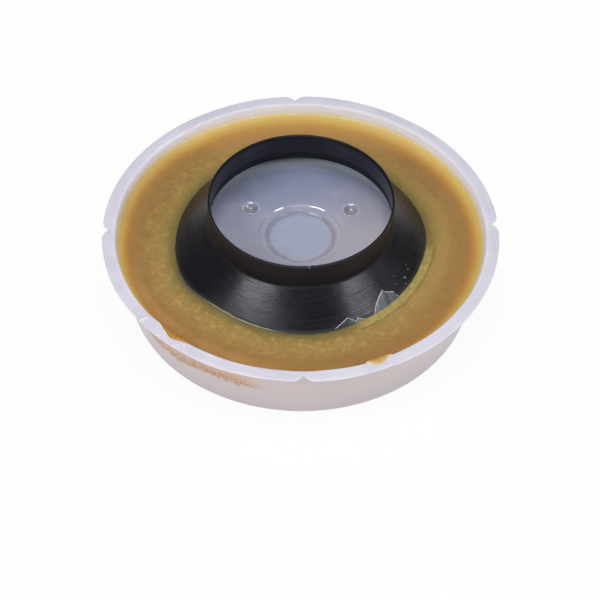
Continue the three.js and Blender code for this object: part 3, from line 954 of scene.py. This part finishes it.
def face_height(bearings, radius):
    """Height of the wax's face: the level, a slight sag, soft bumps, what draws it up the cone as
    exp(-distance / 1.5), a broken bead along the cone at the right front, and a hollow curve,
    rise * (1 - distance / width)^2, that climbs the wall."""
    meet = contact_radius(bearings)
    edge = wall_radius(WAX_LEVEL + MENISCUS_RISE) - WAX_CLEARANCE
    from_horn, from_wall = radius - meet, edge - radius
    x, y = radius * np.cos(bearings), radius * np.sin(bearings)
    calm = smoothstep(0, 2.5, from_horn) * smoothstep(0, 3, from_wall)
    bumps = 0.1 * ripples(x, y, 6, 14, 21) + 0.02 * ripples(x, y, 2, 5, 22)
    sag = -0.25 * bell(radius - 60, 6) + 0.12 * lobes(bearings, range(1, 7), 23)
    draw = (cone_height(meet) - WAX_LEVEL) * np.exp(-from_horn.clip(0) / 1.5)
    bead = 0.3 * bead_share(bearings, from_horn)
    ragged = 0.2 * lobes(bearings, range(2, 14), 25) + 0.14 * lobes(bearings, range(20, 90, 7), 26)
    climb = MENISCUS_RISE * (1 + ragged - 0.5 * bell(bearing_gap(bearings, 88), 0.35))
    meniscus = climb * np.clip(1 - from_wall / MENISCUS_WIDTH, 0, 1) ** 2
    return WAX_LEVEL + calm * (bumps + sag) + draw + bead + meniscus


def bead_share(bearings, from_horn):
    """The bead of wax pressed along the cone at the right front: 1 on it, and 0 past its outer edge and
    in the cuts that part it into blocks."""
    degrees = np.degrees(bearings)
    where = smoothstep(-66, -56, degrees) * smoothstep(-1, -6, degrees)
    edge = BEAD_WIDTH + 0.2 * lobes(bearings, range(9, 30, 4), 24)
    gaps = np.abs(degrees[..., None] - np.array(BEAD_CUTS)).min(-1)
    cuts = 0.6 + 0.4 * smoothstep(0.1, 0.7, gaps)
    return where * cuts * smoothstep(edge + 0.25, edge - 0.25, from_horn) * smoothstep(0, 0.4, from_horn)


def hidden_wax_outline(crest):
    """The wax's outline out of sight: from its crest down the wall, under, up the plateau and along the
    horn's hidden side to the lip's top, a clearance away from them all."""
    gap = WAX_CLEARANCE
    lip_top = cone_height(CONE_RADIUS)
    lip_under = lip_top - LIP_THICKNESS
    run = 1 / math.tan(CONE_FALL)
    return outline([
        (wall_radius(crest) - gap, crest),
        (wall_radius(WAX_UNDERSIDE) - gap, WAX_UNDERSIDE, WALL_FOOT_FILLET),
        (plateau_radius(WAX_UNDERSIDE) + gap, WAX_UNDERSIDE, PLATEAU_FOOT_FILLET),
        (plateau_radius(WAX_LEVEL) + gap, WAX_LEVEL),
        (SLEEVE_RADIUS + (cone_under(SLEEVE_RADIUS) - WAX_LEVEL) * run - gap, WAX_LEVEL),
        (SLEEVE_RADIUS + (cone_under(SLEEVE_RADIUS) - lip_under) * run - gap, lip_under - gap),
        (LIP_RADIUS + gap, lip_under - gap),
        (LIP_RADIUS + gap, lip_top + gap),
        (CONE_RADIUS + gap / 2, lip_top + gap),
    ], run_step=2.2, arc_step=0.5)[1:]


def make_wax_cast():
    """The wax ring: its face from the contact with the cone to the wall, the hidden outline, and the cone's
    side back to the contact. Its attributes are from_horn and from_wall, the distances over the face in
    millimetres, glow, the share of the reach of the painted light rim, and bead."""
    close, middle, by_wall = np.linspace(0, 0.16, 18), np.linspace(0.16, 0.86, 36), np.linspace(0.86, 1, 18)
    share = np.concatenate([close[:-1], middle[:-1], by_wall])[:, None]
    gap = WAX_CLEARANCE
    crest = WAX_LEVEL + MENISCUS_RISE
    hidden = hidden_wax_outline(crest)
    bearings = bearings_with([(-33, 34, 0.35)], coarse=1.0)
    meet = contact_radius(bearings)
    outer = wall_radius(crest) - gap
    face_radius = meet + share * (outer - meet)
    from_horn, from_wall = face_radius - meet, outer - face_radius
    spread = np.broadcast_to(bearings, face_radius.shape)
    face = face_height(spread, face_radius)
    bead = bead_share(spread, from_horn)
    face_radius = face_radius + (wall_radius(face) - wall_radius(crest)) * share ** 8
    across = np.ones(len(bearings))
    rise = np.linspace(0, 1, 6)[1:-1, None]
    cone_radius = CONE_RADIUS + rise * (meet - CONE_RADIUS)
    cone_side = cone_height(cone_radius) + gap * (1 - rise)
    radius = np.concatenate([face_radius, hidden[:, :1] * across, cone_radius])
    height = np.concatenate([face, hidden[:, 1:] * across, cone_side])
    out_of_sight = np.zeros((len(hidden) + len(rise), len(bearings)))
    glow = from_wall / ring_value(bearings, LIGHT_RIM)
    attributes = {
        "from_horn": np.concatenate([from_horn, out_of_sight + 30]),
        "from_wall": np.concatenate([from_wall, out_of_sight]),
        "glow": np.concatenate([glow, out_of_sight]),
        "bead": np.concatenate([bead, out_of_sight]),
    }
    return turned_ring("wax_cast", radius, height, bearings, attributes)


def ringed_wax(s, broad, curds, mottled):
    """The wax by its distance from the horn, which noise makes wander: a dark green edge over olive and
    golden brown to orange brown; then, by its share of the light rim's reach, orange to pale yellow at the
    wall, a rim of painted light that shines in through the wall. The front edge is a deeper orange, and the
    left has painted light at its front and painted shade at its back."""
    from_horn, from_wall, glow = s.attribute("from_horn"), s.attribute("from_wall"), s.attribute("glow")
    bearing = s.bearing()
    wander = (broad - 0.5) * 5 + (curds - 0.5) * 1.2
    reach = from_horn + (1 - s.band(-175, -150, -70, -58, bearing)) * 1.1
    body = s.ramp((reach + wander * s.step(1, 6, from_horn)) / 20, [
        (0, srgb(64, 64, 46)), (0.02, srgb(98, 92, 58)), (0.06, srgb(120, 106, 62)),
        (0.14, srgb(136, 114, 62)), (0.25, srgb(154, 129, 72)), (0.4, srgb(163, 132, 74)),
        (0.56, srgb(159, 124, 70)), (0.72, srgb(157, 119, 67)), (1, srgb(160, 119, 68)),
    ])
    # painted light: the pale rim by the wall stands in for light that shines in through the wall
    edge_glow = s.ramp(glow + (curds - 0.5) * 0.12, [
        (0, srgb(217, 200, 166)), (0.05, srgb(214, 190, 130)), (0.1, srgb(210, 182, 108)),
        (0.3, srgb(205, 168, 90)), (0.55, srgb(188, 142, 70)), (0.75, srgb(172, 124, 60)),
        (0.95, srgb(160, 119, 66)),
    ])
    colour = s.mix(s.step(1.15, 0.8, glow + (broad - 0.5) * 0.3), body, edge_glow)
    at_front = s.band(-150, -135, -70, -50, bearing) * s.step(1.4, 0.1, from_wall)
    colour = s.mix(at_front, colour, srgb(184, 128, 48))
    # painted light on the wax at the left front
    lit_left = s.band(-170, -150, -110, -88, bearing) * s.band(1.2, 2.6, 5, 8, from_wall)
    colour = s.mix(lit_left * 0.5, colour, srgb(188, 142, 82))
    # painted shade on the wax at the left back
    shaded_left = s.band(125, 140, 168, 180, bearing) * s.step(12, 5, from_wall)
    colour = s.mix(shaded_left * 0.3, colour, srgb(156, 122, 66))
    near_horn = s.step(16, 9, from_horn + wander) * s.step(1.5, 4, from_horn)
    return curdled(s, beaded(s, colour, curds, from_horn, bearing), curds, mottled, near_horn)


def beaded(s, colour, curds, from_horn, bearing):
    """The colour with the pale bead pressed along the cone and the dark line at the bead's foot, painted
    shade.
    """
    pale_bead = s.mix(s.step(0.4, 0.6, curds), srgb(164, 148, 84), srgb(180, 162, 98))
    colour = s.mix(s.attribute("bead") * 0.7, colour, pale_bead)
    # painted shade: a dark line along the foot of the bead
    bead_foot_shade = s.band(-68, -58, -5, -1, bearing) * s.band(2.9, 3.3, 3.5, 4.2, from_horn)
    return s.mix(bead_foot_shade * 0.4, colour, srgb(116, 98, 50))


def curdled(s, colour, curds, mottled, near_horn):
    """The colour with pale curds and lumps and darker gaps between them, strongest near the horn and at
    the left and the front."""
    lumps = s.noise(1.5, 4, 0.62)
    pale = s.step(0.5, 0.68, curds) * near_horn * (0.3 + mottled * 0.3)
    colour = s.mix(pale, colour, srgb(184, 156, 86))
    light = s.step(0.52, 0.72, lumps) * (0.12 + near_horn * mottled * 0.3)
    colour = s.mix(light, colour, srgb(198, 170, 102))
    return s.mix(s.step(0.46, 0.3, lumps) * near_horn * mottled * 0.35, colour, srgb(134, 106, 54))


def amber_wax():
    """Sealing wax: ringed, beaded and curdled, with a paler band near the horn where it isn't mottled, a
    paler one behind the horn, and brown clouds outside the light rim. Two noises are its relief, and the
    finer one adds up to 0.14 to a roughness of 0.36."""
    s = Shader("amber_wax")
    broad, curds, fine = s.noise(13, 3), s.noise(2.6, 3), s.noise(0.9, 2)
    from_horn, bearing = s.attribute("from_horn"), s.bearing()
    mottled = s.band(-190, -160, -60, -20, bearing) + s.step(110, 150, bearing)
    colour = ringed_wax(s, broad, curds, mottled)
    inner_band = s.band(3.5, 6, 8, 11, from_horn) * (1 - mottled)
    colour = s.mix(inner_band * 0.3, colour, srgb(172, 142, 80))
    behind_horn = s.band(45, 65, 118, 135, bearing) * s.band(8.5, 11, 14, 17, from_horn)
    colour = s.mix(behind_horn * 0.35, colour, srgb(194, 152, 94))
    outside_rim = s.step(3, 8, from_horn) * s.step(0.9, 1.4, s.attribute("glow"))
    dark = s.step(0.5, 0.8, s.noise(3.8, 3)) * outside_rim
    colour = s.mix(dark * 0.45, colour, srgb(146, 104, 56))
    relief = s.bump(curds, 0.12, 0.4)
    relief = s.bump(fine, 0.12, 0.1, relief)
    return s.set(
        Base_Color=colour,
        Roughness=0.36 + fine * 0.14,
        IOR=1.42,
        Subsurface_Weight=0.2,
        Subsurface_Radius=(1.4, 0.8, 0.3),
        Subsurface_Scale=0.0015,
        Normal=relief,
    )


# Wax films, spills and crumbs

def cone_outline():
    """The cone's outer side from the collar down to the lip."""
    return np.array([(SLEEVE_RADIUS, COLLAR_HEIGHT), (CONE_RADIUS, cone_height(CONE_RADIUS))])


def down_cone(radius):
    """Distance down the cone from the collar to a radius."""
    return (radius - SLEEVE_RADIUS) / math.cos(CONE_FALL)


def make_film_line():
    """The edge of wax film that creeps up the cone at the front left, pale where a highlight is painted on
    it:
    a skin along the contact, whose width waves as lobes of the bearing and runs out as 1 - u^4 towards both
    ends."""
    bearings = np.radians(np.linspace(-167, -92, 151))
    meet = down_cone(contact_radius(bearings))
    u = np.linspace(-1, 1, len(bearings))
    ends = 1 - u ** 4
    width = FILM_WIDTH * (1 + 0.3 * lobes(bearings, range(11, 60, 7), 31)) * ends
    near, far = meet - width, meet + 0.25 * ends
    return skin_patch(
        "film_line", cone_outline(), bearings, near, far, FILM_THICKNESS, buried=0.05, across=8
    )


def make_flake(name, top_edge, seed):
    """A torn flake of film on the cone: from its measured upper edge, with a ripple, down to the wax,
    and drawn in at both ends as (1 - u^8)^0.5."""
    places, radii = np.array(top_edge).T
    degrees = np.linspace(places[0], places[-1], 72)
    bearings = np.radians(degrees)
    near = np.interp(degrees, places, radii) + 0.06 * lobes(bearings, range(150, 600, 50), seed)
    far = contact_radius(bearings) + 0.35
    u = np.linspace(-1, 1, len(bearings))
    far = np.maximum(near, near + (far - near) * (1 - u ** 8).clip(0) ** 0.5)
    near, far = down_cone(near), down_cone(far)
    return skin_patch(name, cone_outline(), bearings, near, far, FILM_THICKNESS, buried=0.03)


def make_spill(name, outer_edge, thickness):
    """Wax that ran over the bend of the flange: a skin from its measured outer edge inwards and down the
    wall into the wax, and drawn in at both ends as (1 - u^4)^0.5."""
    carrier = outline([
        (wall_radius(SPILL_FOOT), SPILL_FOOT),
        (WALL_TOP_RADIUS, DISH_HEIGHT - 0.1, FLANGE_FILLET),
        (RIM_RADIUS, DISH_HEIGHT - 0.2),
    ], run_step=0.5, arc_step=0.1)
    runs = np.concatenate([[0], np.cumsum(np.linalg.norm(np.diff(carrier, axis=0), axis=1))])
    places, radii = np.array(outer_edge).T
    degrees = np.linspace(places[0], places[-1], 64)
    far = np.interp(np.interp(degrees, places, radii), carrier[:, 0], runs)
    u = np.linspace(-1, 1, len(degrees))
    low = np.interp(wall_radius(WAX_LEVEL - SPILL_DIP), carrier[:, 0], runs)
    near = far - (far - low) * (1 - u ** 4).clip(0) ** 0.5
    return skin_patch(name, carrier, np.radians(degrees), near, far, thickness, buried=0.2)


def wax_skin(name, body, streak, edge, edge_name, roughness=0.3, pale_span=None):
    """Thin wax: a streaked body whose border is paler. With a pale span, start, full, fade and end in
    degrees, it darkens to a grey film outside it."""
    s = Shader(name)
    colour = s.mix(s.step(0.35, 0.7, s.streaks(60, 0.3, 2)), srgb(*body), srgb(*streak))
    colour = s.mix(s.attribute(edge_name), colour, srgb(*edge))
    if pale_span:
        colour = s.mix(s.band(*pale_span, s.bearing()), srgb(82, 86, 80), colour)
    return s.set(Base_Color=colour, Roughness=roughness, IOR=1.45, Normal=s.bump(s.noise(0.8, 2), 0.2, 0.1))


def on_cone(bearing, radius):
    """A point 0.05 mm above the cone."""
    return *polar(bearing, radius), cone_height(radius) + 0.05


def on_wax(bearing, radius):
    """A point 0.02 mm above the wax's face."""
    height = face_height(np.radians([bearing]), np.array([float(radius)]))[0]
    return *polar(bearing, radius), height + 0.02


def polar(bearing, radius):
    """r cos a and r sin a, with the bearing a in degrees."""
    return radius * math.cos(math.radians(bearing)), radius * math.sin(math.radians(bearing))


def make_wax_crumbs():
    """The larger pale crumbs that stick up from the wax's face, measured one by one, and small ones
    strewn between them at the front and the left by a seeded draw."""
    places = [on_wax(bearing, radius) for bearing, radius, *_ in WAX_CRUMBS]
    sizes = [(half, half * long, half * 0.35) for *_, half, long in WAX_CRUMBS]
    random = np.random.default_rng(41)
    for _ in range(SMALL_CRUMBS):
        bearing, radius, half = random.uniform(-180, -60), random.uniform(51, 66), random.uniform(0.1, 0.2)
        places.append(on_wax(bearing, radius))
        sizes.append((half * random.uniform(0.7, 1.6), half * random.uniform(0.7, 1.6), half * 0.3))
    return crumbs("wax_crumbs", places, sizes)


def make_white_specks():
    """White specks on the horn, on its cone and near the sleeve's edge: partly pale wax and partly painted
    highlights for small glints.
    """
    places = [on_cone(bearing, radius) for bearing, radius, *_ in CONE_SPECKS]
    places += [(*polar(bearing, SLEEVE_RADIUS + 0.05), height) for bearing, height, *_ in SLEEVE_SPECKS]
    sizes = [(out, across, up) for *_, out, across, up in (*CONE_SPECKS, *SLEEVE_SPECKS)]
    return crumbs("white_specks", places, sizes)


# The scene

def make_camera():
    """The photograph's camera: turned back by its elevation, then rolled about its own axis."""
    camera = bpy.data.objects.new("camera", bpy.data.cameras.new("camera"))
    camera.data.sensor_width = SENSOR_WIDTH
    camera.data.lens = FOCAL_PIXELS * SENSOR_WIDTH / IMAGE_SIZE
    camera.data.clip_start, camera.data.clip_end = 0.05, 20
    across = Vector((1, 0, 0))
    up = Vector((0, math.sin(CAMERA_ELEVATION), math.cos(CAMERA_ELEVATION)))
    back = Vector((0, -math.cos(CAMERA_ELEVATION), math.sin(CAMERA_ELEVATION)))
    level = Matrix((
        across * math.cos(CAMERA_ROLL) + up * math.sin(CAMERA_ROLL),
        up * math.cos(CAMERA_ROLL) - across * math.sin(CAMERA_ROLL),
        back,
    )).transposed()
    camera.matrix_world = Matrix.Translation(Vector(CAMERA_PLACE) * MM) @ level.to_4x4()
    bpy.context.scene.collection.objects.link(camera)
    bpy.context.scene.camera = camera


def make_lamp(name, bearing, elevation, width, height, power):
    """A soft box at a bearing and elevation from the seal, in degrees, that faces it."""
    data = bpy.data.lights.new(name, "AREA")
    data.shape, data.energy = "RECTANGLE", power
    data.size, data.size_y = width, height
    lamp = bpy.data.objects.new(name, data)
    level = math.cos(math.radians(elevation))
    away = Vector((*polar(bearing, level), math.sin(math.radians(elevation))))
    lamp.location = away * LAMP_DISTANCE
    lamp.rotation_mode = "QUATERNION"
    lamp.rotation_quaternion = away.to_track_quat("Z", "Y")
    lamp.visible_camera = False
    bpy.context.scene.collection.objects.link(lamp)


def seen_directly(s):
    """1 for a ray from the camera, or one that a mirror or a clear surface sends on, and 0 for light."""
    camera, mirrored, cleared = (
        s.add("ShaderNodeLightPath", output=f"Is {ray} Ray") for ray in ("Camera", "Glossy", "Transmission")
    )
    return camera.joined("MAXIMUM", camera, mirrored.joined("MAXIMUM", mirrored, cleared))


def make_floor():
    """A white floor just under the dish: to the camera it is mostly plain white, and the rest of it shows
    the seal's shadow."""
    corners = np.array([(-1, -1), (1, -1), (1, 1), (-1, 1)]) * FLOOR_REACH
    floor = mesh_object("floor", np.column_stack([corners, np.full(4, -FLOOR_DROP)]), [(0, 1, 2, 3)])
    s = Shader("white_floor")
    paper = s.add("ShaderNodeBsdfDiffuse", None, {"Color": (0.9, 0.9, 0.9, 1)})
    glow = s.add("ShaderNodeEmission", None, {"Color": (1, 1, 1, 1), "Strength": 1.0})
    both = s.add("ShaderNodeMixShader", None, {0: seen_directly(s) * FLOOR_WHITENESS, 1: paper, 2: glow})
    s.links.new(both.socket, s.nodes["Material Output"].inputs["Surface"])
    floor.data.materials.append(s.material)


def make_world():
    """Even white light at a low level, which the camera alone sees at full strength."""
    world = bpy.data.worlds.new("studio")
    world.use_nodes = True
    bpy.context.scene.world = world
    nodes, links = world.node_tree.nodes, world.node_tree.links
    path = nodes.new("ShaderNodeLightPath")
    level = nodes.new("ShaderNodeMapRange")
    level.inputs["To Min"].default_value = WORLD_STRENGTH
    level.inputs["To Max"].default_value = 1.0
    links.new(path.outputs["Is Camera Ray"], level.inputs["Value"])
    links.new(level.outputs["Result"], nodes["Background"].inputs["Strength"])
    nodes["Background"].inputs["Color"].default_value = (1, 1, 1, 1)


def dress(piece, material, node):
    """Gives a piece its material, its body, the node that it replaces, if any."""
    piece.data.materials.append(material)
    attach(piece, "root")
    if node:
        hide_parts(node)


dress(make_dish_sheet(), frosted_sheet(), "dish")
dress(make_wax_cast(), amber_wax(), "wax_ring")
dress(make_horn_moulding(), black_plastic(), "horn")

# a real film of wax, grey outside -145 to -94 degrees; its paler colour inside that span and its pale
# border are a painted highlight
film_colours = (112, 110, 90), (142, 134, 106), (160, 152, 120)
film = wax_skin("film_edge", *film_colours, "rim", 0.4, pale_span=(-145, -125, -108, -94))
flake_wax = wax_skin("flake_film", (70, 72, 80), (108, 110, 119), (222, 224, 230), "upper", 0.22)
small_flake_wax = wax_skin("dark_film", (34, 36, 42), (66, 68, 76), (216, 218, 224), "upper", 0.22)
spilt = wax_skin("spilt_wax", (176, 122, 50), (188, 136, 62), (192, 144, 74), "upper")
chip_wax = wax_skin("chip_wax", (192, 150, 76), (206, 168, 96), (228, 212, 172), "rim")
crumb_wax = wax_skin("crumb_wax", (188, 158, 98), (198, 170, 112), (198, 170, 112), "rim", 0.5)
# partly pale wax and partly painted highlights: the white specks on the horn also stand in for small glints
white_wax = wax_skin("white_wax", (214, 216, 224), (232, 234, 240), (232, 234, 240), "rim")
for piece, material in [
    (make_film_line(), film),
    (make_flake("large_flake", LARGE_FLAKE, seed=32), flake_wax),
    (make_flake("small_flake", SMALL_FLAKE, seed=33), small_flake_wax),
    (make_spill("left_spill", LEFT_SPILL, thickness=0.7), spilt),
    (make_spill("right_spill", RIGHT_SPILL, thickness=1.0), chip_wax),
    (make_wax_crumbs(), crumb_wax),
    (make_white_specks(), white_wax),
]:
    dress(piece, material, None)

make_floor()
make_world()
for name, lamp in LAMPS.items():
    make_lamp(name, *lamp)
make_camera()

bpy.context.scene.view_settings.view_transform = "Standard"
